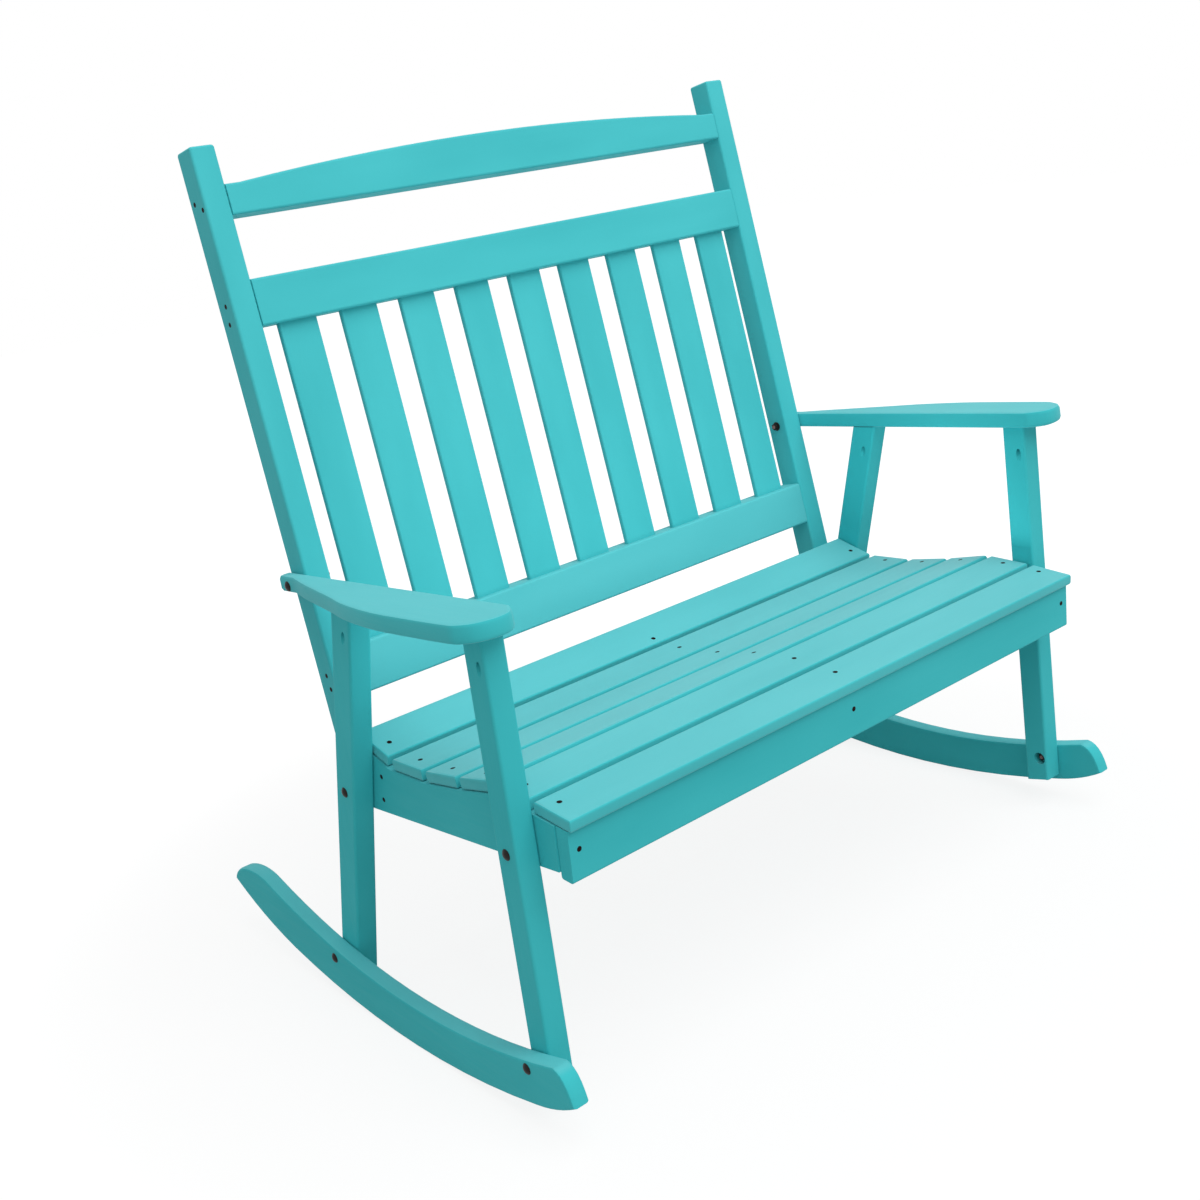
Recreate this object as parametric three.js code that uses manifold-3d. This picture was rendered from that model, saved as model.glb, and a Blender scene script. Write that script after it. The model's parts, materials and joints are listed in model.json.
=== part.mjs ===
// Rocking bench for a porch: scooped slat seat, slatted back, flat arms and two curved runners.
// Millimetres, +Z up. Whoever sits on it faces -Y. Left is -X, as seen from the front.
// The side view (y, z) is laid out from the middle of the runners' curve, and the whole bench is
// then rolled on its runners until its centre of mass stands over the place where it meets the floor.

import * as THREE from 'three';
import { mergeVertices } from 'three/addons/utils/BufferGeometryUtils.js';
import Module from 'manifold-3d';

const wasm = await Module();
wasm.setup();

// Fits and edges
const fitGap = 0.3;
const overrun = 12;
const boardEdge = 4;
const armEdge = 6;
const runnerEdge = 5;
const slatEdge = 3;

// Timber sections
const frameWidth = 1035;
const railThickness = 39;
const postDepth = 46;
const legThickness = 34.8;
const frontLegDepth = 41.7;
const rearLegDepth = 47.5;
const runnerThickness = 26;
const armThickness = 26;
const apronThickness = 23;
const apronHeight = 71.5;
const crossRailThickness = 22;
const crossRailHeight = 72;

// Runners
const runnerRadius = 1530;
const runnerDepth = 68;
const runnerTopRadius = 1330;
const runnerTopAhead = 36;
const toeReach = 99;
const toeTipHeight = 70;
const toeTopBack = 35;
const heelReach = 326;
const heelTipHeight = 99;

// Legs
const footHeight = 70;
const footClearance = 14;
const frontFootAhead = 323;
const frontLegLean = 0.7;
const rearLegRake = 17.3;
const rearLegAhead = 12;

// Seat
const seatHeight = 429.8;
const seatOverhang = 72;
const frontSlatWidth = 71;
const rearSlatWidth = 76.5;
const seatSlatThickness = 18;
const seatSlatGap = 10;
const seatSlatInset = 1.6;
const frontSlatCount = 2;
const seatSlopes = [6.1, 3.6, -10.8, -8.2, -1.8, 16.4];
const apronInset = 2.3;
const apronSetback = 8;
const apronLean = 3.5;
const railBottomDrop = 107.6;
const railBottomRise = 4.43;
const crossRailStation = 6;

// Back
const backLean = 8.87;
const postLength = 879.5;
const postBehindSeat = 20.4;
const shoulderDrop = 11;
const tenonThickness = 13;
const tenonDepth = 26;
const tenonLength = 34;
const crestDrop = 56.8;
const crestEndHeight = 45;
const crestRise = 22;
const crestShoulder = 24;
const upperRailDrop = 193.4;
const upperRailHeight = 68.4;
const lowerRailShare = 0.5596;
const lowerRailHeight = 73.6;
const backSlatCount = 9;
const backSlatWidth = 63;
const backSlatThickness = 10.5;
const backSlatEndGap = 31;
const backSlatSetback = 14;
const housingDepth = 12;

// Arms
const armHeight = 672.8;
const armSlope = 3.04;
const armNose = 39;
const armTail = 20;
const armWidth = 92;
const armInboard = 11;
const armNeckWidth = 19.5;
const armNeckLead = 20;

// Bolts, nuts and screw pockets
const boltRadius = 3.1;
const boltHeadRadius = 7.9;
const boltHeadHeight = 3.6;
const boltNeckSide = 6.4;
const boltNeckLength = 4;
const boltTail = 1.5;
const nutFlats = 11;
const nutHeight = 5.6;
const washerRadius = 8;
const washerThickness = 1.4;
const counterboreRadius = 10.5;
const counterboreDepth = 14;
const frontRunnerBoltDrop = 12;
const frontRunnerBoltAhead = 7;
const rearRunnerBoltDrop = 17;
const frontRailBoltLift = 27;
const rearRailBoltLift = 38;
const armBoltDrop = 15.5;
const pocketRadius = 4.5;
const pocketDrop = 45;
const pocketAhead = 7.5;
const pocketTilt = 25;
const pocketDepth = 11;

// Degrees that the bench rolls on its runners to come to rest
const restRoll = -0.575;

// Facets
const edgeSteps = 2;
const cornerSteps = 3;
const boreSides = 16;
const domeSteps = 4;
const boltSides = 20;
const hexSides = 6;
const curveSteps = 6;
const runnerFacets = 11;
const runnerTopFacets = 18;
const crestFacets = 16;
const armCurveSteps = 30;

// Outline points as shares of the size that each one follows
const heelTopShares = [[-1.743, 0], [-1.254, 0.596], [-0.703, 0.474], [-0.153, 0.352]];
const toeTopShares = [0.153, 0.63];
const runnerEndShare = 0.56;
const armOuterShares = [
  [0.506, 0.182], [0.753, 0.376], [0.899, 0.479], [1, 0.632], [0.99, 0.781],
  [0.955, 0.912], [0.91, 0.949], [0.742, 0.984], [0.449, 1], [0.19, 0.99], [0.01, 0.945],
];

const radians = THREE.MathUtils.degToRad;
const halfFrame = frameWidth / 2;
const railInner = halfFrame - railThickness;
const legInner = halfFrame + fitGap;
const legOuter = legInner + legThickness;
const runnerInner = legOuter + fitGap;
const runnerOuter = runnerInner + runnerThickness;

// Points and lines in the side view

function stepFrom(point, angle, along, down = 0) {
  return {
    y: point.y + along * Math.cos(angle) + down * Math.sin(angle),
    z: point.z + along * Math.sin(angle) - down * Math.cos(angle),
  };
}

function heightOn(line, y) {
  return line.z + (y - line.y) * Math.tan(line.angle);
}

function meet(line, other) {
  const across = Math.sin(other.angle - line.angle);
  const gapY = other.y - line.y;
  const gapZ = other.z - line.z;
  return stepFrom(line, line.angle, (gapY * Math.sin(other.angle) - gapZ * Math.cos(other.angle)) / across);
}

function asVectors(points) {
  return points.map((point) => new THREE.Vector2(point.y, point.z));
}

// Solids: closed geometries, and the joins and cuts between them

function solidOf(geometry) {
  const bare = new THREE.BufferGeometry();
  bare.setAttribute('position', geometry.getAttribute('position'));
  bare.setIndex(geometry.getIndex());
  const merged = mergeVertices(bare);
  const index = merged.getIndex().array;
  const triangles = [];
  for (let i = 0; i < index.length; i += 3) {
    const [a, b, c] = [index[i], index[i + 1], index[i + 2]];
    if (a !== b && b !== c && c !== a) {
      triangles.push(a, b, c);
    }
  }
  const vertProperties = new Float32Array(merged.getAttribute('position').array);
  const triVerts = new Uint32Array(triangles);
  return new wasm.Manifold(new wasm.Mesh({ numProp: 3, vertProperties, triVerts }));
}

function geometryOf(solid) {
  const mesh = solid.getMesh();
  const geometry = new THREE.BufferGeometry();
  geometry.setAttribute('position', new THREE.BufferAttribute(new Float32Array(mesh.vertProperties), 3));
  geometry.setIndex(new THREE.BufferAttribute(new Uint32Array(mesh.triVerts), 1));
  return geometry;
}

function shaped(geometry, { joins = [], cuts = [], within = [] }) {
  let solid = solidOf(geometry);
  for (const region of within) {
    solid = solid.intersect(solidOf(region));
  }
  for (const join of joins) {
    solid = solid.add(solidOf(join));
  }
  for (const cut of cuts) {
    solid = solid.subtract(solidOf(cut));
  }
  return geometryOf(solid);
}

function box(lowX, highX, lowY, highY, lowZ, highZ) {
  const geometry = new THREE.BoxGeometry(highX - lowX, highY - lowY, highZ - lowZ);
  return geometry.translate((lowX + highX) / 2, (lowY + highY) / 2, (lowZ + highZ) / 2);
}

// An outline drawn in the side view, as thick in x as the two faces are apart
const sideView = new THREE.Matrix4().makeBasis(
  new THREE.Vector3(0, 1, 0),
  new THREE.Vector3(0, 0, 1),
  new THREE.Vector3(1, 0, 0),
);

// An outline drawn in the front view, with its depth along y
const frontView = new THREE.Matrix4().makeBasis(
  new THREE.Vector3(1, 0, 0),
  new THREE.Vector3(0, 0, 1),
  new THREE.Vector3(0, -1, 0),
);

function slab(points, thickness, edge = 0) {
  const shape = new THREE.Shape(points);
  const geometry = new THREE.ExtrudeGeometry(shape, {
    depth: thickness - 2 * edge,
    steps: 1,
    bevelEnabled: edge > 0,
    bevelThickness: edge,
    bevelSize: edge,
    bevelOffset: -edge,
    bevelSegments: edgeSteps,
  });
  return geometry.translate(0, 0, edge - thickness / 2);
}

function sideSlab(points, lowX, highX, edge = 0) {
  return slab(points, highX - lowX, edge).applyMatrix4(sideView).translate((lowX + highX) / 2, 0, 0);
}

// A rectangle with round corners, centred on the origin
function roundedRectangle(width, height, radius) {
  const points = [];
  const corners = [[1, 1, 0], [-1, 1, 1], [-1, -1, 2], [1, -1, 3]];
  for (const [sideX, sideY, quarter] of corners) {
    for (let i = 0; i <= cornerSteps; i += 1) {
      const angle = (quarter + i / cornerSteps) * Math.PI / 2;
      const x = sideX * (width / 2 - radius) + radius * Math.cos(angle);
      const y = sideY * (height / 2 - radius) + radius * Math.sin(angle);
      points.push(new THREE.Vector2(x, y));
    }
  }
  return points;
}

// An outline with one corner of a polygon rounded off
function roundedCorner(before, corner, after, radius) {
  const start = new THREE.Vector2().subVectors(before, corner).setLength(radius).add(corner);
  const end = new THREE.Vector2().subVectors(after, corner).setLength(radius).add(corner);
  return new THREE.QuadraticBezierCurve(start, corner, end).getPoints(cornerSteps);
}

function boreAlongX(place, radius, lowX, highX, facets = boreSides) {
  const geometry = new THREE.CylinderGeometry(radius, radius, highX - lowX, facets);
  return geometry.rotateZ(Math.PI / 2).translate((lowX + highX) / 2, place.y, place.z);
}

// The scene graph

function painted() {
  return new THREE.MeshStandardMaterial({ color: 0x35b2b8, roughness: 0.45, metalness: 0 });
}

function blackened() {
  return new THREE.MeshStandardMaterial({ color: 0x1c1b1d, roughness: 0.35, metalness: 0.8 });
}

function darkPlated() {
  return new THREE.MeshStandardMaterial({ color: 0x292421, roughness: 0.45, metalness: 0.6 });
}

const bench = new THREE.Group();

// Adds a piece whose geometry is drawn in its parent's frame, with its own origin at the given pose
function addPiece(name, geometry, material, pose = new THREE.Matrix4(), parent = bench) {
  geometry.applyMatrix4(pose.clone().invert());
  const mesh = new THREE.Mesh(geometry, material);
  mesh.name = name;
  mesh.applyMatrix4(pose);
  parent.add(mesh);
  return mesh;
}

function sidePose(x, point, angle = 0) {
  return new THREE.Matrix4().makeRotationX(angle).setPosition(x, point.y, point.z);
}

const sides = [
  { name: 'left', sign: -1 },
  { name: 'right', sign: 1 },
];

// Low and high x of a layer that lies between two distances from the middle, on one side
function layer(side, inner, outer) {
  return side.sign > 0 ? [inner, outer] : [-outer, -inner];
}

// Side view: the runners' curve

const facetAngle = 2 * Math.asin(frontFootAhead / runnerRadius) / runnerFacets;

function onRunner(angle) {
  return { y: runnerRadius * Math.sin(angle), z: runnerRadius * (1 - Math.cos(angle)) };
}

function runnerTopHeight(y) {
  const offset = y + runnerTopAhead;
  return runnerDepth + runnerTopRadius - Math.sqrt(runnerTopRadius ** 2 - offset ** 2);
}

// Points of the underside, with one facet centred on the place where the bench meets the floor
const runnerUnderside = [];
for (let i = 0; i <= runnerFacets; i += 1) {
  runnerUnderside.push(onRunner(radians(restRoll) + (i - runnerFacets / 2) * facetAngle));
}

// Side view: the seat's slats, from the front edge back

const frontLegAngle = radians(frontLegLean);
const frontFoot = { y: -frontFootAhead, z: footHeight, angle: frontLegAngle + Math.PI / 2 };
const seatFront = {
  y: meet(frontFoot, { y: 0, z: seatHeight, angle: 0 }).y - frontLegDepth / 2 - seatOverhang,
  z: seatHeight,
};

const seatSlats = [];
let slatStart = seatFront;
let slatAngle = radians(seatSlopes[0]);
seatSlopes.forEach((slope, i) => {
  const angle = radians(slope);
  const width = i < frontSlatCount ? frontSlatWidth : rearSlatWidth;
  const front = i === 0 ? slatStart : stepFrom(slatStart, (slatAngle + angle) / 2, seatSlatGap);
  seatSlats.push({ front, angle, width });
  slatStart = stepFrom(front, angle, width);
  slatAngle = angle;
});

function undersideOf(slat) {
  return { ...stepFrom(slat.front, slat.angle, 0, seatSlatThickness + fitGap), angle: slat.angle };
}

const frontSlat = seatSlats[0];
const rearSlat = seatSlats[seatSlats.length - 1];
const undersides = seatSlats.map(undersideOf);

// Side view: apron, rails, posts and legs

const apronAngle = radians(apronLean) - Math.PI / 2;
const apronTop = stepFrom(undersides[0], frontSlat.angle, apronSetback);
const apronFront = { ...apronTop, angle: apronAngle };
const apronBack = { ...stepFrom(apronTop, apronAngle + Math.PI / 2, apronThickness), angle: apronAngle };
const railFront = { ...stepFrom(apronBack, apronAngle + Math.PI / 2, fitGap), angle: apronAngle };
const railBottom = { y: 0, z: seatHeight - railBottomDrop, angle: -radians(railBottomRise) };

const backAngle = radians(backLean);
const rearSlatCorner = stepFrom(rearSlat.front, rearSlat.angle, rearSlat.width, seatSlatThickness + fitGap);
const postFoot = { y: rearSlatCorner.y + postBehindSeat, z: rearSlatCorner.z - shoulderDrop };
const postFootBack = stepFrom(postFoot, -backAngle, postDepth);
const postMiddle = { ...stepFrom(postFoot, -backAngle, postDepth / 2), angle: Math.PI / 2 - backAngle };

const rearRake = radians(rearLegRake);
const postFace = { ...postFoot, angle: Math.PI / 2 - backAngle };
const rearRailHeight = heightOn(railBottom, postFoot.y) + rearRailBoltLift;
const rearLegLine = {
  y: meet(postFace, { y: 0, z: rearRailHeight, angle: 0 }).y - rearLegAhead,
  z: rearRailHeight,
  angle: Math.PI / 2 + rearRake,
};

const armTop = { y: 0, z: armHeight, angle: -radians(armSlope) };
const armUnderside = { ...stepFrom(armTop, armTop.angle, 0, armThickness + fitGap), angle: armTop.angle };

// Side view: bolts

function pointOn(line, height) {
  return meet(line, { y: 0, z: height, angle: 0 });
}

const rearFoot = pointOn(rearLegLine, footHeight);
const frontRunnerY = frontFoot.y - frontRunnerBoltAhead;
const frontRunnerBolt = { y: frontRunnerY, z: runnerTopHeight(frontRunnerY) - frontRunnerBoltDrop };
const rearRunnerBolt = pointOn(rearLegLine, runnerTopHeight(rearFoot.y) - rearRunnerBoltDrop);
const frontRailBolt = pointOn(frontFoot, heightOn(railBottom, frontFoot.y) + frontRailBoltLift);
const rearRailBolt = pointOn(rearLegLine, rearRailHeight);
const armAtPost = meet(postMiddle, armTop);
const armBolt = pointOn(postMiddle, armAtPost.z - armBoltDrop);

// Each joint: where it is, the face under the bolt's head and the face under its nut
const armNeckOuter = legInner + armNeckWidth;
const joints = [
  { name: 'front_runner', place: frontRunnerBolt, outer: runnerOuter, inner: legInner + counterboreDepth },
  { name: 'rear_runner', place: rearRunnerBolt, outer: runnerOuter, inner: legInner + counterboreDepth },
  { name: 'front_rail', place: frontRailBolt, outer: legOuter, inner: railInner },
  { name: 'rear_rail', place: rearRailBolt, outer: legOuter, inner: railInner },
  { name: 'arm', place: armBolt, outer: armNeckOuter, inner: railInner },
];

// The holes that bolts need on one side: clear bores, and square seats under the heads
function boltHoles(side) {
  const cutters = [];
  for (const joint of joints) {
    const [boreLow, boreHigh] = layer(side, joint.inner - overrun, joint.outer + overrun);
    cutters.push(boreAlongX(joint.place, boltRadius + fitGap, boreLow, boreHigh));
    const neckHalf = boltNeckSide / 2 + fitGap;
    const [neckLow, neckHigh] = layer(side, joint.outer - boltNeckLength - fitGap, joint.outer + overrun);
    const { y, z } = joint.place;
    cutters.push(box(neckLow, neckHigh, y - neckHalf, y + neckHalf, z - neckHalf, z + neckHalf));
  }
  return cutters;
}

// Runners

function runnerOutline() {
  const first = runnerUnderside[0];
  const last = runnerUnderside[runnerFacets];
  const toeTip = { y: frontFoot.y - toeReach, z: toeTipHeight };
  const heelTip = { y: rearFoot.y + heelReach, z: heelTipHeight };
  const toeBend = stepFrom(first, -facetAngle * runnerFacets / 2, runnerEndShare * (toeTip.y - first.y));
  const heelBend = stepFrom(last, facetAngle * runnerFacets / 2, runnerEndShare * (heelTip.y - last.y));
  const toeTopY = toeTip.y + toeTopBack;
  const [topEnd, heelRise, heelCrown, heelNose] = heelTopShares.map(([alongShare, upShare]) => ({
    y: heelTip.y + alongShare * runnerDepth,
    z: heelTip.z + upShare * runnerDepth,
  }));
  topEnd.z = runnerTopHeight(topEnd.y);
  const toeNose = {
    y: toeTip.y + toeTopShares[0] * runnerDepth,
    z: toeTip.z + toeTopShares[1] * runnerDepth,
  };
  const toeTop = { y: toeTopY, z: runnerTopHeight(toeTopY) };
  const curve = (...corners) => {
    const bend = new THREE.QuadraticBezierCurve(...asVectors(corners));
    return bend.getPoints(curveSteps).slice(1);
  };

  const points = asVectors(runnerUnderside);
  points.push(...curve(last, heelBend, heelTip));
  points.push(...curve(heelTip, heelNose, heelCrown));
  points.push(...curve(heelCrown, heelRise, topEnd));
  for (let i = 1; i <= runnerTopFacets; i += 1) {
    const y = THREE.MathUtils.lerp(topEnd.y, toeTop.y, i / runnerTopFacets);
    points.push(new THREE.Vector2(y, runnerTopHeight(y)));
  }
  points.push(...curve(toeTop, toeNose, toeTip));
  points.push(...curve(toeTip, toeBend, first).slice(0, -1));
  return points;
}

for (const side of sides) {
  const [low, high] = layer(side, runnerInner, runnerOuter);
  const runner = shaped(sideSlab(runnerOutline(), low, high, runnerEdge), { cuts: boltHoles(side) });
  addPiece(`${side.name}_runner`, runner, painted(), sidePose((low + high) / 2, { y: 0, z: 0 }));
}

// Legs: bars cut off under the arm, and along the runner's curve a little above its underside

function legRegion() {
  const feet = runnerUnderside.map(({ y, z }) => ({ y, z: z + footClearance }));
  const first = feet[0];
  const last = feet[runnerFacets];
  const reach = legOuter + overrun;
  const outline = asVectors([
    ...feet,
    { y: last.y, z: heightOn(armUnderside, last.y) },
    { y: first.y - overrun - toeReach, z: heightOn(armUnderside, first.y - overrun - toeReach) },
    { y: first.y - overrun - toeReach, z: first.z },
  ]);
  return sideSlab(outline, -reach, reach);
}

function leg(side, line, depth) {
  const length = armHeight + 2 * overrun + runnerDepth;
  const bar = slab(roundedRectangle(legThickness, depth, boardEdge), length);
  const [low, high] = layer(side, legInner, legOuter);
  const foot = pointOn(line, 0);
  const pose = sidePose((low + high) / 2, foot, line.angle - Math.PI / 2);
  bar.translate(0, 0, length / 2 - overrun).applyMatrix4(pose);
  const cuts = boltHoles(side);
  for (const joint of joints.slice(0, 2)) {
    const [cutLow, cutHigh] = layer(side, legInner - overrun, legInner + counterboreDepth);
    cuts.push(boreAlongX(joint.place, counterboreRadius, cutLow, cutHigh, boltSides));
  }
  cuts.push(screwPocket(line, low));
  return { geometry: shaped(bar, { within: [legRegion()], cuts }), pose };
}

// A slanted pocket for the screw that holds the arm down, bored in the leg's -X face
function screwPocket(line, faceX) {
  const armPoint = meet(line, armUnderside);
  const mouth = stepFrom(armPoint, line.angle, -pocketDrop, -pocketAhead);
  const tilt = radians(pocketTilt);
  const length = 2 * pocketDepth + overrun;
  const bore = new THREE.CylinderGeometry(pocketRadius, pocketRadius, length, boreSides);
  bore.rotateX(Math.PI / 2).translate(0, 0, pocketDepth - length / 2).rotateY(tilt);
  return bore.applyMatrix4(sidePose(faceX, mouth, line.angle - Math.PI / 2));
}

for (const side of sides) {
  const front = leg(side, frontFoot, frontLegDepth);
  addPiece(`${side.name}_front_leg`, front.geometry, painted(), front.pose);
  const rear = leg(side, rearLegLine, rearLegDepth);
  addPiece(`${side.name}_rear_leg`, rear.geometry, painted(), rear.pose);
}

// Seat slats

seatSlats.forEach((slat, i) => {
  const length = frameWidth - 2 * seatSlatInset;
  const outline = [
    new THREE.Vector2(-length / 2, -slat.width / 2),
    new THREE.Vector2(length / 2, -slat.width / 2),
    new THREE.Vector2(length / 2, slat.width / 2),
    new THREE.Vector2(-length / 2, slat.width / 2),
  ];
  const board = slab(outline, seatSlatThickness, boardEdge);
  const middle = stepFrom(slat.front, slat.angle, slat.width / 2, seatSlatThickness / 2);
  const pose = sidePose(0, middle, slat.angle);
  addPiece(`seat_slat_${i + 1}`, shaped(board.applyMatrix4(pose), {}), painted(), pose);
});

// Seat rails: their top edge is scooped to the slats' undersides

function railOutline() {
  const scoop = undersides.slice(1).map((line, i) => meet(undersides[i], line));
  const shoulder = (point) => stepFrom(point, -backAngle, 0, fitGap);
  return asVectors([
    meet(railFront, railBottom),
    { y: postFootBack.y, z: heightOn(railBottom, postFootBack.y) },
    shoulder(postFootBack),
    shoulder(postFoot),
    rearSlatCorner,
    ...scoop.reverse(),
    meet(railFront, undersides[0]),
  ]);
}

// The post's tenon, grown on all faces by a given clearance
function tenon(side, clearance) {
  const [low, high] = layer(side, railInner, halfFrame);
  const middle = (low + high) / 2;
  const halfThickness = tenonThickness / 2 + clearance;
  const halfDepth = tenonDepth / 2 + clearance;
  const tip = -tenonLength - clearance;
  return box(
    middle - halfThickness, middle + halfThickness,
    postDepth / 2 - halfDepth, postDepth / 2 + halfDepth,
    tip, postDepth / 2,
  );
}

const backPose = sidePose(0, postFoot, -backAngle);

for (const side of sides) {
  const [low, high] = layer(side, railInner, halfFrame);
  const rail = sideSlab(railOutline(), low, high);
  const mortise = tenon(side, fitGap).applyMatrix4(backPose);
  const geometry = shaped(rail, { cuts: [mortise, ...boltHoles(side)] });
  const pose = sidePose((low + high) / 2, railBottom, railBottom.angle);
  addPiece(`${side.name}_seat_rail`, geometry, painted(), pose);
}

// Rear cross rail, square to the rear slat and between the side rails

const slatPose = sidePose(0, rearSlat.front, rearSlat.angle);
const crossRailTop = -seatSlatThickness - fitGap;
const crossRail = box(
  fitGap - railInner, railInner - fitGap,
  crossRailStation, crossRailStation + crossRailThickness,
  crossRailTop - crossRailHeight, crossRailTop,
);
addPiece('rear_cross_rail', shaped(crossRail.applyMatrix4(slatPose), {}), painted(), slatPose);

// Middle seat rail, from the apron to the rear cross rail

const behindCrossRail = box(
  -railThickness, railThickness,
  crossRailStation - fitGap, frameWidth,
  -frameWidth, overrun,
).applyMatrix4(slatPose);
const middleRail = sideSlab(railOutline(), -railThickness / 2, railThickness / 2);
const middleRailGeometry = shaped(middleRail, { cuts: [behindCrossRail] });
addPiece('middle_seat_rail', middleRailGeometry, painted(), sidePose(0, railBottom, railBottom.angle));

// Apron under the front slat, with its lower edges eased

function apronOutline() {
  const topFront = meet(apronFront, undersides[0]);
  const topBack = meet(apronBack, undersides[0]);
  const lowFront = stepFrom(topFront, apronAngle, apronHeight);
  const lowBack = stepFrom(lowFront, apronAngle + Math.PI / 2, apronThickness);
  const [a, b, c, d] = asVectors([topBack, topFront, lowFront, lowBack]);
  return [a, b, ...roundedCorner(b, c, d, boardEdge), ...roundedCorner(c, d, a, boardEdge)];
}

const apronReach = halfFrame - apronInset;
const apron = shaped(sideSlab(apronOutline(), -apronReach, apronReach), {});
addPiece('front_apron', apron, painted(), sidePose(0, apronTop, apronAngle + Math.PI / 2));

// Back: one leaning frame, drawn upright from the foot of the posts

const back = new THREE.Group();
back.applyMatrix4(backPose);
bench.add(back);

const intoBack = backPose.clone().invert();

for (const side of sides) {
  const [low, high] = layer(side, railInner, halfFrame);
  const length = postLength + boardEdge + overrun;
  const bar = slab(roundedRectangle(railThickness, postDepth, boardEdge + fitGap), length, boardEdge);
  bar.translate((low + high) / 2, postDepth / 2, postLength - length / 2);
  const belowFoot = box(low - overrun, high + overrun, -overrun, postDepth + overrun, -length, 0);
  const holes = boltHoles(side).map((hole) => hole.applyMatrix4(intoBack));
  const trimmed = shaped(bar, { cuts: [belowFoot] });
  const geometry = shaped(trimmed, { joins: [tenon(side, 0)], cuts: holes });
  const pose = new THREE.Matrix4().setPosition((low + high) / 2, postDepth / 2, 0);
  addPiece(`${side.name}_post`, geometry, painted(), pose, back);
}

const backRailReach = railInner - fitGap;
const outerSlat = railInner - backSlatEndGap - backSlatWidth / 2;
const slatOffsets = [];
for (let i = 0; i < backSlatCount; i += 1) {
  slatOffsets.push(THREE.MathUtils.lerp(-outerSlat, outerSlat, i / (backSlatCount - 1)));
}

// Housings for the back slats, between two heights at one edge of a rail
function housings(lowZ, highZ) {
  const half = backSlatWidth / 2 + fitGap;
  const front = backSlatSetback - fitGap;
  const rear = backSlatSetback + backSlatThickness + fitGap;
  return slatOffsets.map((x) => box(x - half, x + half, front, rear, lowZ, highZ));
}

function backRail(name, lowZ, height, cuts) {
  const section = roundedRectangle(postDepth, height, boardEdge);
  const rail = slab(section, 2 * backRailReach).applyMatrix4(sideView);
  const middle = lowZ + height / 2;
  rail.translate(0, postDepth / 2, middle);
  const pose = new THREE.Matrix4().setPosition(0, postDepth / 2, middle);
  addPiece(name, shaped(rail, { cuts }), painted(), pose, back);
}

const upperRailBottom = postLength - upperRailDrop - upperRailHeight;
const armBoltRise = Math.hypot(armBolt.y - postMiddle.y, armBolt.z - postMiddle.z);
const lowerRailTop = lowerRailShare * armBoltRise;
const lowerRailBottom = lowerRailTop - lowerRailHeight;
const upperHousings = housings(upperRailBottom - overrun, upperRailBottom + housingDepth);
const lowerHousings = housings(lowerRailTop - housingDepth, lowerRailTop + overrun);
backRail('upper_back_rail', upperRailBottom, upperRailHeight, upperHousings);
backRail('lower_back_rail', lowerRailBottom, lowerRailHeight, lowerHousings);

slatOffsets.forEach((x, i) => {
  const low = lowerRailTop - housingDepth + fitGap;
  const high = upperRailBottom + housingDepth - fitGap;
  const slat = slab(roundedRectangle(backSlatWidth, backSlatThickness, slatEdge), high - low);
  const pose = new THREE.Matrix4().setPosition(x, backSlatSetback + backSlatThickness / 2, (low + high) / 2);
  addPiece(`back_slat_${i + 1}`, shaped(slat.applyMatrix4(pose), {}), painted(), pose, back);
});

// Crest rail: a shallow arch between short level ends

function crestOutline() {
  const bottom = postLength - crestDrop - crestEndHeight;
  const endTop = postLength - crestDrop;
  const archHalf = backRailReach - crestShoulder;
  const archRadius = (archHalf ** 2 + crestRise ** 2) / (2 * crestRise);
  const points = [
    new THREE.Vector2(-backRailReach - overrun, bottom),
    new THREE.Vector2(backRailReach + overrun, bottom),
    new THREE.Vector2(backRailReach + overrun, endTop),
  ];
  for (let i = 0; i <= crestFacets; i += 1) {
    const x = THREE.MathUtils.lerp(archHalf, -archHalf, i / crestFacets);
    points.push(new THREE.Vector2(x, endTop + crestRise - archRadius + Math.sqrt(archRadius ** 2 - x ** 2)));
  }
  points.push(new THREE.Vector2(-backRailReach - overrun, endTop));
  return points;
}

const crestBoard = slab(crestOutline(), postDepth, boardEdge).applyMatrix4(frontView);
crestBoard.translate(0, postDepth / 2, 0);
const crestSpan = box(-backRailReach, backRailReach, -overrun, postDepth + overrun, 0, 2 * postLength);
const crestMiddle = postLength - crestDrop - crestEndHeight / 2;
const crestPose = new THREE.Matrix4().setPosition(0, postDepth / 2, crestMiddle);
addPiece('crest_rail', shaped(crestBoard, { within: [crestSpan] }), painted(), crestPose, back);

// Arms: wide over the front leg, narrowed to a neck beside the post

const armRear = pointOn(postMiddle, armAtPost.z).y + armTail;
const armFront = pointOn(frontFoot, armHeight).y - frontLegDepth / 2 - armNose;

function armOutline(side) {
  const length = armRear - armFront;
  const innerX = legInner - armInboard;
  const neckEnd = new THREE.Vector2(side.sign * armNeckOuter, armRear - 2 * armTail);
  const outer = armOuterShares.map(([acrossShare, alongShare]) => new THREE.Vector2(
    side.sign * (innerX + acrossShare * armWidth),
    armRear - alongShare * length,
  ));
  const neckY = postFace.y + (armAtPost.z - postFace.z) * Math.tan(backAngle) - postDepth / 2 - armNeckLead;
  const points = new THREE.SplineCurve([neckEnd, ...outer]).getPoints(armCurveSteps);
  points.unshift(new THREE.Vector2(side.sign * armNeckOuter, armRear));
  points.push(new THREE.Vector2(side.sign * legInner, neckY));
  points.push(new THREE.Vector2(side.sign * legInner, armRear));
  return points;
}

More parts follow.
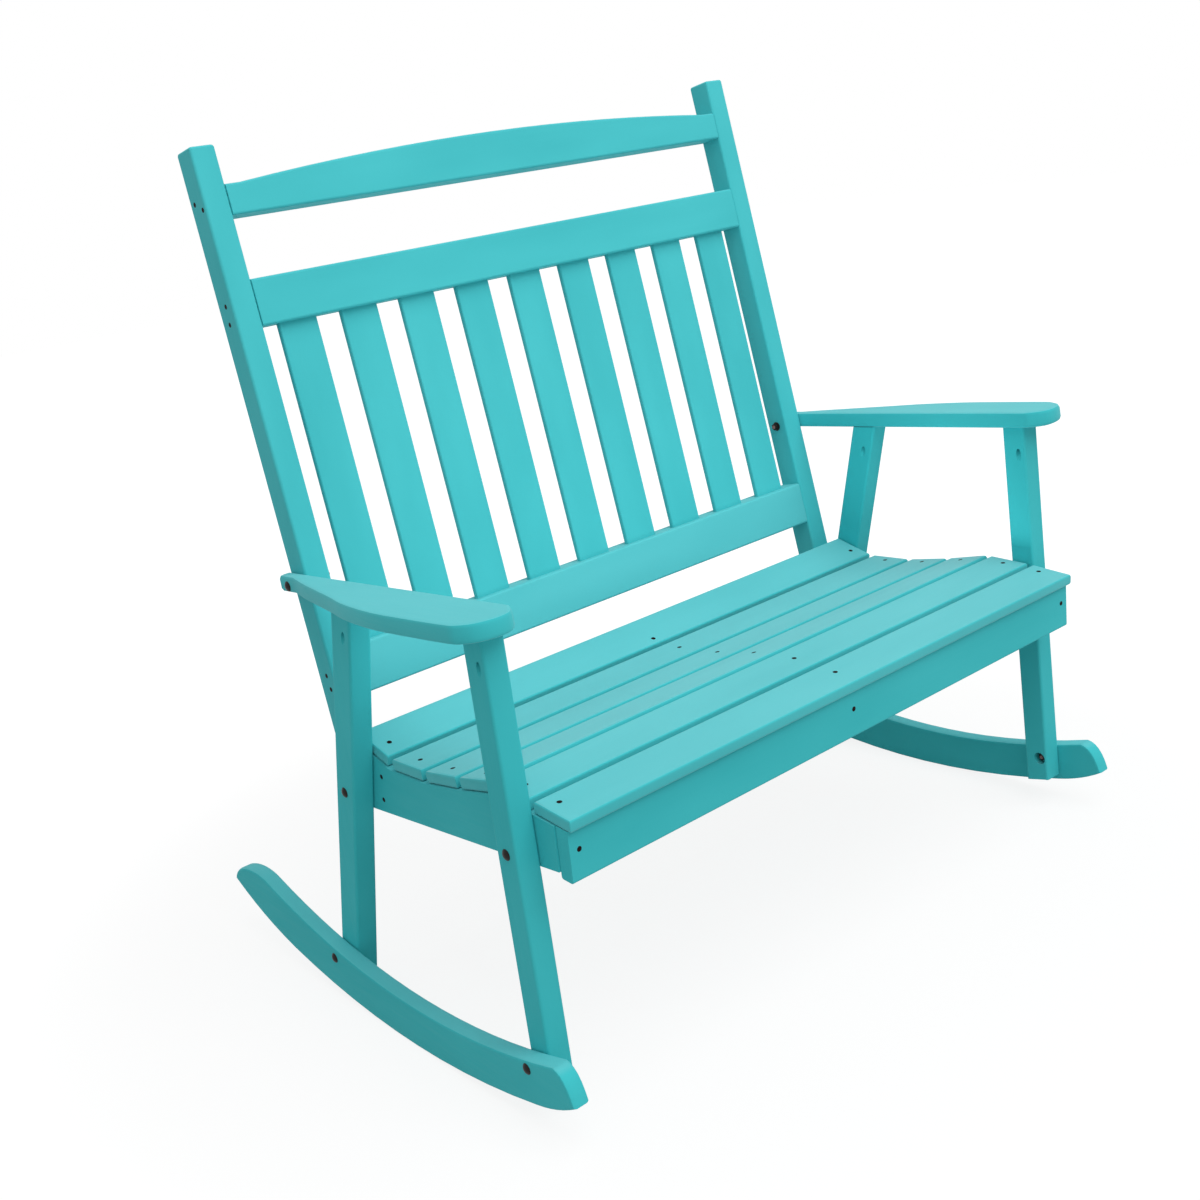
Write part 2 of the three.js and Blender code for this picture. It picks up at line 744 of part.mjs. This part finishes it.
for (const side of sides) {
  const board = slab(armOutline(side), armThickness, armEdge).translate(0, 0, -armThickness / 2);
  const pose = sidePose(0, armTop, armTop.angle);
  const geometry = shaped(board.applyMatrix4(pose), { cuts: boltHoles(side) });
  const middle = sidePose(side.sign * (legInner + armNeckWidth), armTop, armTop.angle);
  addPiece(`${side.name}_arm`, geometry, painted(), middle);
}

// Carriage bolts and their nuts

function boltGeometry(length) {
  const domeRadius = (boltHeadRadius ** 2 + boltHeadHeight ** 2) / (2 * boltHeadHeight);
  const points = [
    new THREE.Vector2(0, -length),
    new THREE.Vector2(boltRadius, -length),
    new THREE.Vector2(boltRadius, 0),
  ];
  for (let i = 0; i <= domeSteps; i += 1) {
    const x = boltHeadRadius * Math.cos((i / domeSteps) * Math.PI / 2);
    const y = boltHeadHeight - domeRadius + Math.sqrt(domeRadius ** 2 - x ** 2);
    points.push(new THREE.Vector2(i === domeSteps ? 0 : x, y));
  }
  const round = new THREE.LatheGeometry(points, boltSides);
  const neckHalf = boltNeckSide / 2;
  const neck = box(-neckHalf, neckHalf, -boltNeckLength, boltHeadHeight / 2, -neckHalf, neckHalf);
  return shaped(round, { joins: [neck] });
}

function nutGeometry() {
  const hexRadius = nutFlats / 2 / Math.cos(Math.PI / hexSides);
  const stack = washerThickness + nutHeight;
  const hex = new THREE.CylinderGeometry(hexRadius, hexRadius, stack, hexSides);
  hex.translate(0, -stack / 2, 0);
  const washer = new THREE.CylinderGeometry(washerRadius, washerRadius, washerThickness, boltSides);
  washer.translate(0, -washerThickness / 2, 0);
  const boreRadius = boltRadius + fitGap;
  const bore = new THREE.CylinderGeometry(boreRadius, boreRadius, 2 * stack + overrun, boreSides);
  return shaped(hex, { joins: [washer], cuts: [bore] });
}

for (const side of sides) {
  const outward = new THREE.Matrix4().makeRotationZ(-side.sign * Math.PI / 2);
  for (const joint of joints) {
    const grip = joint.outer - joint.inner + 2 * fitGap;
    const length = grip + washerThickness + nutHeight + boltTail;
    const { y, z } = joint.place;
    const boltPose = outward.clone().setPosition(side.sign * (joint.outer + fitGap), y, z);
    const bolt = boltGeometry(length).applyMatrix4(boltPose);
    addPiece(`${side.name}_${joint.name}_bolt`, bolt, blackened(), boltPose);
    const nutPose = outward.clone().setPosition(side.sign * (joint.inner - fitGap), y, z);
    const nut = nutGeometry().applyMatrix4(nutPose);
    addPiece(`${side.name}_${joint.name}_nut`, nut, darkPlated(), nutPose);
  }
}

// Rest: rolled to its balance, with the origin under the middle of its bounding box

const object = new THREE.Group();
object.add(bench);
bench.rotation.x = -radians(restRoll);
object.updateMatrixWorld(true);
const bounds = new THREE.Box3().setFromObject(object, true);
bench.position.set(0, -(bounds.min.y + bounds.max.y) / 2, -bounds.min.z);
object.updateMatrixWorld(true);

export default object;
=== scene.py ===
"""Rocking bench: paint, screws, hardware, soft studio light and the photograph's camera.

Metres, in the part's own frame: +Z up, and whoever sits on the bench faces -Y.
"""

import json
import math

import bmesh
import bpy
from mathutils import Matrix, Vector
from mathutils.bvhtree import BVHTree

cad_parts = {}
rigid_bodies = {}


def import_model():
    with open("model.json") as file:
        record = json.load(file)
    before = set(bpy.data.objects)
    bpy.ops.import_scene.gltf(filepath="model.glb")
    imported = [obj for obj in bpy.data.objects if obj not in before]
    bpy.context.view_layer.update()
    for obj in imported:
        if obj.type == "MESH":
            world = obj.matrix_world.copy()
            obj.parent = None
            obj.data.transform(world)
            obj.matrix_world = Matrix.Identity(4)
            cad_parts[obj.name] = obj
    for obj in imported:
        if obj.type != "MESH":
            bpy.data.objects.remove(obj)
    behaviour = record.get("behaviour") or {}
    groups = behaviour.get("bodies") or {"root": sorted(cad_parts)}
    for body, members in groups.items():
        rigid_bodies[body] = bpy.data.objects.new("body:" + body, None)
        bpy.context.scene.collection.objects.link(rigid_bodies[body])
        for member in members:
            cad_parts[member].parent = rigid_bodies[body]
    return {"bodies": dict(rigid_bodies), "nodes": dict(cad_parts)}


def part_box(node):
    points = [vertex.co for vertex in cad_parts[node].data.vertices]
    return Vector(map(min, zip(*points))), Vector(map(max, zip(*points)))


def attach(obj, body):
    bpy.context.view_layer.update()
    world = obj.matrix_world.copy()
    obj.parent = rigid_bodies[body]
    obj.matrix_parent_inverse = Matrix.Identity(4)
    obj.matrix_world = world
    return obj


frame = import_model()
NODES = frame["nodes"]
BODY = next(iter(frame["bodies"]))
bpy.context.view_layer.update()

SIDES = (("left", -1), ("right", 1))
ALONG_X, ALONG_Y, ALONG_Z = range(3)


def link(thing):
    bpy.context.scene.collection.objects.link(thing)


# ---------------------------------------------------------------- camera

CAMERA_PLACE = Vector((-1.45622, -1.83405, 1.18646))
CAMERA_FORWARD = Vector((0.593064, 0.772100, -0.228335))
CAMERA_RIGHT = Vector((0.762222, -0.629759, -0.149739))
CAMERA_UP = Vector((0.259410, 0.085236, 0.961999))
SENSOR = 36.0
FOCAL_PIXELS = 1511.18
FRAME_PIXELS = 1200
AXIS_ABOVE_CENTRE = 90.765
CLIP_END = 60


def make_camera():
    data = bpy.data.cameras.new("camera")
    data.sensor_width = SENSOR
    data.lens = FOCAL_PIXELS / FRAME_PIXELS * SENSOR
    data.shift_y = -AXIS_ABOVE_CENTRE / FRAME_PIXELS
    data.clip_end = CLIP_END
    camera = bpy.data.objects.new("camera", data)
    turn = Matrix((CAMERA_RIGHT, CAMERA_UP, -CAMERA_FORWARD)).transposed()
    camera.matrix_world = Matrix.Translation(CAMERA_PLACE) @ turn.to_4x4()
    link(camera)
    bpy.context.scene.camera = camera


# ---------------------------------------------------------------- nodes of materials

# Nearly all of a noise lies between these two values
NOISE_LOW = 0.3
NOISE_HIGH = 0.7


def new_material(name):
    material = bpy.data.materials.new(name)
    material.use_nodes = True
    tree = material.node_tree
    return material, tree, tree.nodes["Principled BSDF"]


def noise(tree, scale, stretch=(1, 1, 1), detail=3.0, roughness=0.5):
    """A noise whose pattern is fixed to the object; scale is in waves per metre."""
    coordinates = tree.nodes.new("ShaderNodeTexCoord")
    mapping = tree.nodes.new("ShaderNodeMapping")
    mapping.inputs["Scale"].default_value = stretch
    texture = tree.nodes.new("ShaderNodeTexNoise")
    texture.inputs["Scale"].default_value = scale
    texture.inputs["Detail"].default_value = detail
    texture.inputs["Roughness"].default_value = roughness
    tree.links.new(coordinates.outputs["Object"], mapping.inputs["Vector"])
    tree.links.new(mapping.outputs["Vector"], texture.inputs["Vector"])
    return texture.outputs["Fac"]


def ramp(tree, value, colours):
    """Two colours, spread over the middle of a noise."""
    node = tree.nodes.new("ShaderNodeValToRGB")
    for element, place, colour in zip(
        node.color_ramp.elements, (NOISE_LOW, NOISE_HIGH), colours
    ):
        element.position = place
        element.color = (*colour, 1)
    tree.links.new(value, node.inputs["Fac"])
    return node.outputs["Color"]


def mapped(tree, value, come_from, go_to=(0, 1), interpolation="LINEAR"):
    """Maps one range onto another, and holds what lies outside to its ends."""
    node = tree.nodes.new("ShaderNodeMapRange")
    node.interpolation_type = interpolation
    node.inputs["From Min"].default_value = come_from[0]
    node.inputs["From Max"].default_value = come_from[1]
    node.inputs["To Min"].default_value = go_to[0]
    node.inputs["To Max"].default_value = go_to[1]
    tree.links.new(value, node.inputs["Value"])
    return node.outputs["Result"]


def spread(tree, value, go_to):
    """Maps the middle of a noise onto a range."""
    return mapped(tree, value, (NOISE_LOW, NOISE_HIGH), go_to)


def combined(tree, operation, values):
    """The sum or the greatest of some values."""
    total = values[0]
    for value in values[1:]:
        node = tree.nodes.new("ShaderNodeMath")
        node.operation = operation
        tree.links.new(total, node.inputs[0])
        tree.links.new(value, node.inputs[1])
        total = node.outputs["Value"]
    return total


def bumped(tree, heights, distance, strength):
    """A bump from the sum of some heights."""
    bump = tree.nodes.new("ShaderNodeBump")
    bump.inputs["Distance"].default_value = distance
    bump.inputs["Strength"].default_value = strength
    tree.links.new(combined(tree, "ADD", heights), bump.inputs["Height"])
    return bump.outputs["Normal"]


def coordinate(tree, vector, axis):
    split = tree.nodes.new("ShaderNodeSeparateXYZ")
    tree.links.new(vector, split.inputs[0])
    return split.outputs[axis]


def blended(tree, factor, colour_a, colour_b):
    """A mix of two colours, of which the second may be plain numbers."""
    mix = tree.nodes.new("ShaderNodeMix")
    mix.data_type = "RGBA"
    tree.links.new(factor, mix.inputs["Factor"])
    for key, colour in (("A", colour_a), ("B", colour_b)):
        socket = next(s for s in mix.inputs if s.name == key and s.type == "RGBA")
        if isinstance(colour, tuple):
            socket.default_value = (*colour, 1)
        else:
            tree.links.new(colour, socket)
    return next(s for s in mix.outputs if s.type == "RGBA")


# ---------------------------------------------------------------- paint

# Each paint drifts between two colours
FRESH = ((0.052, 0.550, 0.590), (0.066, 0.605, 0.645))
# A paler copy for the backrest: a painted sheen standing in for the light on the leaning back
BACKREST_PAINTED_SHEEN = ((0.069, 0.550, 0.590), (0.083, 0.605, 0.645))
# Pale colours that stand in for light: a painted sheen on upward faces, painted bounce light on
# the lower back rail
PAINTED_LIGHT_PALE = ((0.112, 0.585, 0.625), (0.132, 0.630, 0.670))

# A face takes the pale colours, a painted sheen, as its normal's z goes from the first to the
# second
PAINTED_SHEEN_BETWEEN = (0.70, 0.95)

# Waves per metre, and how far the pattern is drawn out along the grain
CLOUD_WAVES = 11
CLOUD_STRETCH = 0.3
GRAIN_WAVES = 320
GRAIN_STRETCH = 0.035
GRAIN_ROUGHNESS = 0.6
PEEL_WAVES = 420
PEEL_HEIGHTS = (0.0, 0.5)

PAINT_ROUGHNESS = (0.62, 0.74)
PAINT_BUMP = {"distance": 0.00012, "strength": 0.35}
PAINT_IOR = 1.5
PAINT_GLINT = (0.08, 0.60, 0.64, 1)
BLOOM_ROUGHNESS = 0.5
SEAT_BLOOM = 0.32
ARM_BLOOM = 0.11


def painted_sheen_mask(tree):
    """1 on faces that look up and 0 on walls and undersides: the mask of the painted sheen."""
    geometry = tree.nodes.new("ShaderNodeNewGeometry")
    height = coordinate(tree, geometry.outputs["Normal"], "Z")
    return mapped(tree, height, PAINTED_SHEEN_BETWEEN, interpolation="SMOOTHSTEP")


def painted(name, along, colours=FRESH, bloom=0.0):
    """Satin paint over planed boards grained along one axis, with chalky bloom and painted top
    sheen.
    """
    material, tree, shader = new_material(name)
    grain_stretch = [1.0, 1.0, 1.0]
    grain_stretch[along] = GRAIN_STRETCH
    cloud_stretch = [1.0, 1.0, 1.0]
    cloud_stretch[along] = CLOUD_STRETCH
    cloud = noise(tree, CLOUD_WAVES, cloud_stretch, detail=2)
    streaks = noise(tree, GRAIN_WAVES, grain_stretch, detail=4, roughness=GRAIN_ROUGHNESS)
    peel = noise(tree, PEEL_WAVES, detail=2)
    # Upward faces take the pale colours: a painted sheen
    colour = blended(tree, painted_sheen_mask(tree), ramp(tree, cloud, colours), ramp(tree, cloud, PAINTED_LIGHT_PALE))
    heights = [streaks, spread(tree, peel, PEEL_HEIGHTS)]
    tree.links.new(colour, shader.inputs["Base Color"])
    tree.links.new(spread(tree, streaks, PAINT_ROUGHNESS), shader.inputs["Roughness"])
    tree.links.new(bumped(tree, heights, **PAINT_BUMP), shader.inputs["Normal"])
    shader.inputs["IOR"].default_value = PAINT_IOR
    shader.inputs["Specular Tint"].default_value = PAINT_GLINT
    shader.inputs["Sheen Weight"].default_value = bloom
    shader.inputs["Sheen Roughness"].default_value = BLOOM_ROUGHNESS
    return material


FRAME_PAINT = {
    ALONG_X: painted("paint_along_x", ALONG_X),
    ALONG_Y: painted("paint_along_y", ALONG_Y),
    ALONG_Z: painted("paint_along_z", ALONG_Z),
}
# Paler copies of the paint for the backrest: a painted sheen
BACK_SHEEN_PAINT = {
    ALONG_X: painted("paint_back_sheen_along_x", ALONG_X, BACKREST_PAINTED_SHEEN),
    ALONG_Z: painted("paint_back_sheen_along_z", ALONG_Z, BACKREST_PAINTED_SHEEN),
}
# The lower back rail takes the pale colours all over: painted bounce light from the seat
LOWER_RAIL_PAINTED_BOUNCE = painted("paint_lower_rail_painted_bounce", ALONG_X, PAINTED_LIGHT_PALE)
SEAT_PAINT = painted("paint_seat", ALONG_X, bloom=SEAT_BLOOM)
ARM_PAINT = painted("paint_arm", ALONG_Y, bloom=ARM_BLOOM)


def grain_axis(name):
    """The axis that a board's length runs along."""
    if any(word in name for word in ("leg", "post", "back_slat")):
        return ALONG_Z
    if any(word in name for word in ("left_", "right_", "middle_")):
        return ALONG_Y
    return ALONG_X


def paint_of(name):
    if name.startswith("seat_slat"):
        return SEAT_PAINT
    if name.endswith("_arm"):
        return ARM_PAINT
    # Painted bounce light on the lower back rail
    if name == "lower_back_rail":
        return LOWER_RAIL_PAINTED_BOUNCE
    # The backrest takes its paler copy of the paint, a painted sheen
    if any(word in name for word in ("post", "back", "crest")):
        return BACK_SHEEN_PAINT[grain_axis(name)]
    return FRAME_PAINT[grain_axis(name)]


# ---------------------------------------------------------------- metal

METAL_WAVES = 900
METAL_BUMP = {"distance": 0.00004, "strength": 0.3}
METAL_SPECULAR = 0.2
SATIN = (0.35, 0.50)
DULL = (0.50, 0.65)

BLACK = ((0.007, 0.005, 0.005), (0.017, 0.012, 0.011))
DULL_PLATE = ((0.010, 0.008, 0.008), (0.026, 0.021, 0.020))
DARK_BRONZE = ((0.010, 0.005, 0.004), (0.024, 0.011, 0.009))
BARE_STEEL = (0.26, 0.14, 0.13)

# Where a bolt's black coat ends and bare steel begins, as shares of its length from the head
COAT_SHARE_END = 0.965
BARE_SHARE_START = 0.970


def metal(name, colours, roughness, metallic, ior=1.5):
    """Plated or blackened steel with a faint mottle."""
    material, tree, shader = new_material(name)
    mottle = noise(tree, METAL_WAVES)
    tree.links.new(ramp(tree, mottle, colours), shader.inputs["Base Color"])
    tree.links.new(spread(tree, mottle, roughness), shader.inputs["Roughness"])
    tree.links.new(bumped(tree, [mottle], **METAL_BUMP), shader.inputs["Normal"])
    shader.inputs["Metallic"].default_value = metallic
    shader.inputs["Specular IOR Level"].default_value = METAL_SPECULAR
    shader.inputs["IOR"].default_value = ior
    return material


def bare_tip(material, coat_end, bare_start):
    """Leaves the cut end of a bolt without its black coat; the places are shares of its box."""
    tree = material.node_tree
    base = tree.nodes["Principled BSDF"].inputs["Base Color"]
    coat = base.links[0].from_socket
    coordinates = tree.nodes.new("ShaderNodeTexCoord")
    along = coordinate(tree, coordinates.outputs["Generated"], "X")
    bare = mapped(tree, along, (coat_end, bare_start))
    tree.links.new(blended(tree, bare, coat, BARE_STEEL), base)


BOLTS = {
    "left": metal("bolt_black_left", BLACK, SATIN, metallic=0.1),
    "right": metal("bolt_black_right", BLACK, SATIN, metallic=0.1),
}
bare_tip(BOLTS["left"], COAT_SHARE_END, BARE_SHARE_START)
bare_tip(BOLTS["right"], 1 - COAT_SHARE_END, 1 - BARE_SHARE_START)
PLATED = metal("nut_plated", DULL_PLATE, SATIN, metallic=0.4)
BRONZE = metal("screw_bronze", DARK_BRONZE, DULL, metallic=0.2, ior=1.2)


# ---------------------------------------------------------------- the solids' edges and looks

BOARD_EDGE = {"width": 0.0009, "segments": 2}
METAL_EDGE = {"width": 0.0003, "segments": 1}
WELD_REACH = 0.00002
FLAT_ANGLE = math.radians(0.6)
SHARP_ANGLE = math.radians(32)
FACE_AREA_WEIGHT = 80


def soften(node, width, segments):
    """Rounds a piece's sharp edges and shades it smoothly, with its vertices left as they are."""
    for polygon in node.data.polygons:
        polygon.use_smooth = True
    weld = node.modifiers.new("weld", "WELD")
    weld.merge_threshold = WELD_REACH
    flat = node.modifiers.new("flat", "DECIMATE")
    flat.decimate_type = "DISSOLVE"
    flat.angle_limit = FLAT_ANGLE
    bevel = node.modifiers.new("bevel", "BEVEL")
    bevel.width = width
    bevel.segments = segments
    bevel.limit_method = "ANGLE"
    bevel.angle_limit = SHARP_ANGLE
    bevel.use_clamp_overlap = True
    weighted = node.modifiers.new("weighted", "WEIGHTED_NORMAL")
    weighted.mode = "FACE_AREA"
    weighted.weight = FACE_AREA_WEIGHT


def dress_nodes():
    for name, node in NODES.items():
        if name.endswith("_bolt"):
            look, edge = BOLTS[name.split("_")[0]], METAL_EDGE
        elif name.endswith("_nut"):
            look, edge = PLATED, METAL_EDGE
        else:
            look, edge = paint_of(name), BOARD_EDGE
        node.data.materials.clear()
        node.data.materials.append(look)
        soften(node, **edge)


# ---------------------------------------------------------------- screws

SCREW_RADIUS = 0.0038
SCREW_STEPS = 28
SCREW_SINK = 0.0001
SCREW_TURNS = (0.3, 1.1, 0.7, 1.9, 0.1, 1.4, 2.3)
# The head's rings, from under the wood up: share of the radius, and height
SCREW_RINGS = ((1.0, -0.0012), (1.0, 0.0), (0.93, 0.00022), (0.84, 0.0003))
# The cross recess: reach and half width of an arm at its mouth, and how its floor lies
CROSS_REACH = 0.0022
CROSS_HALF = 0.00048
CROSS_FLOOR_SHARE = 0.8
CROSS_FLOOR = 0.00016

# Screws are set along a line that starts this far out, beyond every face of the bench
OUTSIDE = 1.0

# The seat's screws, from the front slat back: y at the ends and y in the middle
SEAT_SCREW_Y = (
    (-0.4120, -0.4180), (-0.3440, -0.3400), (-0.2575, -0.2565),
    (-0.1743, -0.1750), (-0.0912, -0.0870), (-0.0120, -0.0250),
)
SEAT_SCREW_X = 0.4947
APRON_SCREW_X = 0.5
APRON_SCREW_Z = 0.3795
# Post screws: how far below the top of the post, and how far behind its front face
POST_SCREWS = (
    (0.0815, 0.0319), (0.0934, 0.0106), (0.2298, 0.0218),
    (0.2556, 0.0242), (0.7784, 0.0215), (0.7991, 0.0187),
)
POST_DEPTH = 0.046
BACK_LEAN = math.radians(8.295)
# Screws near the rear end of each side rail: y and z
RAIL_SCREWS = ((-0.0118, 0.3762), (-0.0054, 0.3392))
# Mouths of the slanted pockets in the legs' -X faces: y, z and the leg's lean in degrees
POCKETS = {"front": (-0.3763, 0.6153, 1.275), "rear": (-0.0476, 0.6017, 17.875)}
POCKET_TILT = math.radians(25)
LEG_FACES = {"left": -0.5526, "right": 0.5178}


def cross_outline():
    """The cross's twelve corners, anticlockwise."""
    reach, half = CROSS_REACH, CROSS_HALF
    quarter = [(reach, half), (half, half), (half, reach)]
    left = [(-x, y) for x, y in reversed(quarter)]
    under = [(-x, -y) for x, y in quarter + left]
    return quarter + left + under


def screw_mesh():
    """A screw's flat head, with a rim that rounds into the wood and a tapered cross recess."""
    mesh = bpy.data.meshes.new("screw_head")
    form = bmesh.new()
    rings = []
    for share, height in SCREW_RINGS:
        radius = SCREW_RADIUS * share
        angles = [2 * math.pi * i / SCREW_STEPS for i in range(SCREW_STEPS)]
        rings.append([
            form.verts.new((radius * math.cos(angle), radius * math.sin(angle), height))
            for angle in angles
        ])
    for lower, upper in zip(rings, rings[1:]):
        for i in range(SCREW_STEPS):
            j = (i + 1) % SCREW_STEPS
            form.faces.new((lower[i], lower[j], upper[j], upper[i]))
    form.faces.new(list(reversed(rings[0])))

    rim = rings[-1]
    top = SCREW_RINGS[-1][1]
    corners = cross_outline()
    mouth = [form.verts.new((x, y, top)) for x, y in corners]
    floor = [
        form.verts.new((x * CROSS_FLOOR_SHARE, y * CROSS_FLOOR_SHARE, CROSS_FLOOR))
        for x, y in corners
    ]
    edges = [form.edges.get((rim[i], rim[(i + 1) % SCREW_STEPS])) for i in range(SCREW_STEPS)]
    for i in range(len(corners)):
        j = (i + 1) % len(corners)
        edges.append(form.edges.new((mouth[i], mouth[j])))
        form.faces.new((mouth[j], mouth[i], floor[i], floor[j]))
    form.faces.new(floor)
    bmesh.ops.triangle_fill(form, use_beauty=True, use_dissolve=False, edges=edges)
    bmesh.ops.recalc_face_normals(form, faces=form.faces)
    form.to_mesh(mesh)
    form.free()
    mesh.materials.append(BRONZE)
    return mesh


def surface(node, start, direction):
    """Where a line from start first meets a node, and the face's outward normal there."""
    mesh = NODES[node].data
    points = [vertex.co for vertex in mesh.vertices]
    faces = [list(polygon.vertices) for polygon in mesh.polygons]
    tree = BVHTree.FromPolygons(points, faces)
    place, normal, _, _ = tree.ray_cast(Vector(start), Vector(direction).normalized())
    if place is None:
        raise ValueError(f"no face of {node} on the line from {tuple(start)}")
    return place, normal


def add_screw(name, node, start, direction, mesh, turn):
    place, normal = surface(node, start, direction)
    screw = bpy.data.objects.new(name, mesh)
    pose = normal.to_track_quat("Z", "Y").to_matrix().to_4x4()
    sunk = Matrix.Translation(place - normal * SCREW_SINK)
    screw.matrix_world = sunk @ pose @ Matrix.Rotation(turn, 4, "Z")
    link(screw)
    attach(screw, BODY)


def add_screws():
    mesh = screw_mesh()
    count = 0

    def screw(name, node, start, direction):
        nonlocal count
        turn = SCREW_TURNS[count % len(SCREW_TURNS)]
        add_screw(name, node, start, direction, mesh, turn)
        count += 1

    down = (0, 0, -1)
    for i, (end_y, middle_y) in enumerate(SEAT_SCREW_Y, 1):
        node = f"seat_slat_{i}"
        screw(f"screw_seat_{i}_middle", node, (0, middle_y, OUTSIDE), down)
        for side, sign in SIDES:
            start = (sign * SEAT_SCREW_X, end_y, OUTSIDE)
            screw(f"screw_seat_{i}_{side}", node, start, down)
    for name, x in (("left", -APRON_SCREW_X), ("middle", 0), ("right", APRON_SCREW_X)):
        screw(f"screw_apron_{name}", "front_apron", (x, -OUTSIDE, APRON_SCREW_Z), (0, 1, 0))

    lean = Vector((0, math.sin(BACK_LEAN), math.cos(BACK_LEAN)))
    behind = Vector((0, math.cos(BACK_LEAN), -math.sin(BACK_LEAN)))
    for side, sign in SIDES:
        inward = (-sign, 0, 0)
        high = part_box(f"{side}_post")[1]
        top_front = Vector((0, high.y, high.z)) - behind * POST_DEPTH
        for i, (drop, setback) in enumerate(POST_SCREWS, 1):
            start = top_front - lean * drop + behind * setback
            start.x = sign * OUTSIDE
            screw(f"screw_post_{i}_{side}", f"{side}_post", start, inward)
        for i, (y, z) in enumerate(RAIL_SCREWS, 1):
            start = (sign * OUTSIDE, y, z)
            screw(f"screw_rail_{i}_{side}", f"{side}_seat_rail", start, inward)
        for which, (y, z, rake) in POCKETS.items():
            along = Vector((0, -math.sin(math.radians(rake)), math.cos(math.radians(rake))))
            bore = Vector((math.sin(POCKET_TILT), 0, 0)) + along * math.cos(POCKET_TILT)
            mouth = (LEG_FACES[side], y, z)
            screw(f"screw_{which}_pocket_{side}", f"{side}_{which}_leg", mouth, bore)
    for i, (_, z) in enumerate(RAIL_SCREWS, 1):
        screw(f"screw_cross_rail_{i}", "rear_cross_rail", (0, OUTSIDE, z), (0, -1, 0))


# ---------------------------------------------------------------- light and floor

AMBIENT = 0.47
KEY_PLACE = Vector((0.2, -3.2, 5.2))
KEY_AIM = Vector((0, 0, 0.5))
KEY_SIZE = 5.4
KEY_POWER = 219
REFLECTOR_PLACE = (0, -0.255, 0.46)
REFLECTOR_SIZE = (0.98, 0.30)
REFLECTOR_POWER = 0.95

FLOOR_REACH = 15.0
# The grey that lights the bench from below, and the grey that takes its shadow
FLOOR_BOUNCE = 0.50
FLOOR_SHADED = 0.16
# The floor's own glow, from near the bench to the distance at which it is plain white
GLOW_RADII = (0.8, 1.8)
GLOW_STRENGTHS = (0.86, 1.0)


def grey(level):
    return (level, level, level, 1)


def add_lamp(name, place, turn, size, power):
    """A rectangle of light; size is its width and its depth."""
    data = bpy.data.lights.new(name, "AREA")
    data.shape = "RECTANGLE"
    data.size, data.size_y = size
    data.energy = power
    lamp = bpy.data.objects.new(name, data)
    lamp.location = place
    lamp.rotation_euler = turn
    link(lamp)
    return lamp


def add_lamps():
    aim = (KEY_AIM - KEY_PLACE).to_track_quat("-Z", "Y").to_euler()
    add_lamp("key", KEY_PLACE, aim, (KEY_SIZE, KEY_SIZE), KEY_POWER)
    # A sheet of light just over the seat, unseen itself, that brightens what stands round it
    upward = (math.pi, 0, 0)
    sheet = add_lamp("seat_reflector", REFLECTOR_PLACE, upward, REFLECTOR_SIZE, REFLECTOR_POWER)
    sheet.visible_camera = False
    sheet.visible_glossy = False


def two_faced(tree, lighting, seen, output):
    """One look for the light that falls on things, and one for what is seen of it directly."""
    path = tree.nodes.new("ShaderNodeLightPath")
    rays = [path.outputs[f"Is {ray} Ray"] for ray in ("Camera", "Glossy", "Transmission")]
    mix = tree.nodes.new("ShaderNodeMixShader")
    tree.links.new(combined(tree, "MAXIMUM", rays), mix.inputs[0])
    tree.links.new(lighting, mix.inputs[1])
    tree.links.new(seen, mix.inputs[2])
    tree.links.new(mix.outputs[0], tree.nodes.new(output).inputs["Surface"])


def make_world():
    world = bpy.data.worlds.new("studio")
    bpy.context.scene.world = world
    world.use_nodes = True
    tree = world.node_tree
    tree.nodes.clear()
    lights = []
    for strength in (AMBIENT, 1.0):
        light = tree.nodes.new("ShaderNodeBackground")
        light.inputs["Color"].default_value = grey(1)
        light.inputs["Strength"].default_value = strength
        lights.append(light.outputs[0])
    two_faced(tree, *lights, "ShaderNodeOutputWorld")


def floor_material():
    material = bpy.data.materials.new("floor_white")
    material.use_nodes = True
    tree = material.node_tree
    tree.nodes.clear()
    bounce = tree.nodes.new("ShaderNodeBsdfDiffuse")
    bounce.inputs["Color"].default_value = grey(FLOOR_BOUNCE)
    shaded = tree.nodes.new("ShaderNodeBsdfDiffuse")
    shaded.inputs["Color"].default_value = grey(FLOOR_SHADED)
    coordinates = tree.nodes.new("ShaderNodeTexCoord")
    distance = tree.nodes.new("ShaderNodeVectorMath")
    distance.operation = "LENGTH"
    tree.links.new(coordinates.outputs["Object"], distance.inputs[0])
    away = distance.outputs["Value"]
    strength = mapped(tree, away, GLOW_RADII, GLOW_STRENGTHS, "SMOOTHSTEP")
    glow = tree.nodes.new("ShaderNodeEmission")
    tree.links.new(strength, glow.inputs["Strength"])
    white = tree.nodes.new("ShaderNodeAddShader")
    tree.links.new(shaded.outputs[0], white.inputs[0])
    tree.links.new(glow.outputs[0], white.inputs[1])
    two_faced(tree, bounce.outputs[0], white.outputs[0], "ShaderNodeOutputMaterial")
    return material


def make_floor():
    mesh = bpy.data.meshes.new("floor")
    reach = FLOOR_REACH
    corners = [(-reach, -reach, 0), (reach, -reach, 0), (reach, reach, 0), (-reach, reach, 0)]
    mesh.from_pydata(corners, [], [(0, 1, 2, 3)])
    mesh.materials.append(floor_material())
    floor = bpy.data.objects.new("floor", mesh)
    link(floor)


make_camera()
dress_nodes()
add_screws()
make_world()
make_floor()
add_lamps()

bpy.context.scene.view_settings.view_transform = "Standard"
